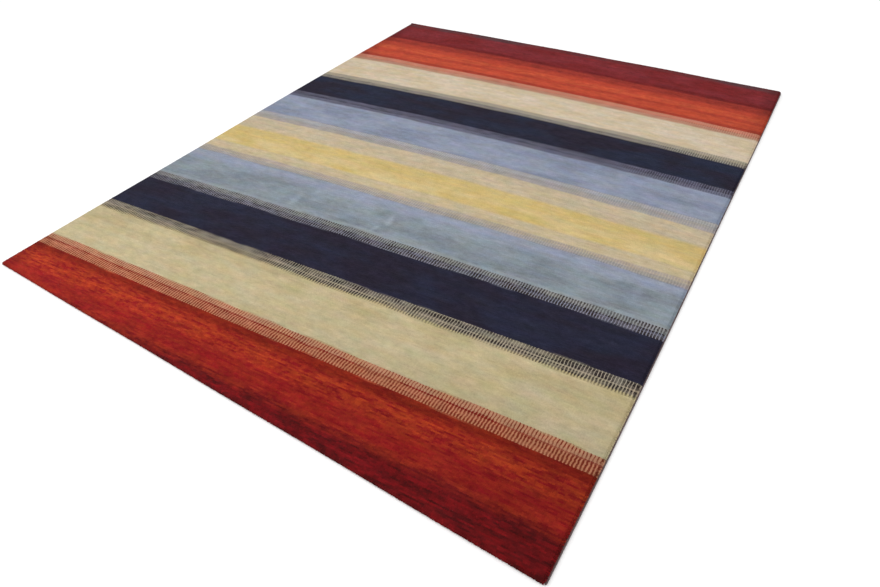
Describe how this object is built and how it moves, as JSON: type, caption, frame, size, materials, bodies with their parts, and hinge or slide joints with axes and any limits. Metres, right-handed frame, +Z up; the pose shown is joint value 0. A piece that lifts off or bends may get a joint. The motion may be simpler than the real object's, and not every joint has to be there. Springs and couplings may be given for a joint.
{
  "type": "loribaft rug",
  "caption": "Flat hand-knotted wool rug with broad cross stripes, comb-edged between colours, a dense short pile, turned-under ends and dark overcast side cords.",
  "frame": {"origin": "centre of the rug's bounding box on the floor, at its flat underside", "axes": "+X across the rug to its right side as the picture shows it, +Y along it to its far end, +Z up through the pile"},
  "size_m": [2.0017, 2.5316, 0.0134],
  "materials": {
    "knotted_wool": "dense cut wool pile in red, tan, navy, blue and gold stripes, matt with a soft sheen",
    "overcast_wool": "dark brown-maroon wool yarn, closely overcast"
  },
  "bodies": {
    "root": {"knotted_cloth": "knotted_wool", "side_cord_left": "overcast_wool", "side_cord_right": "overcast_wool"}
  },
  "joints": []
}
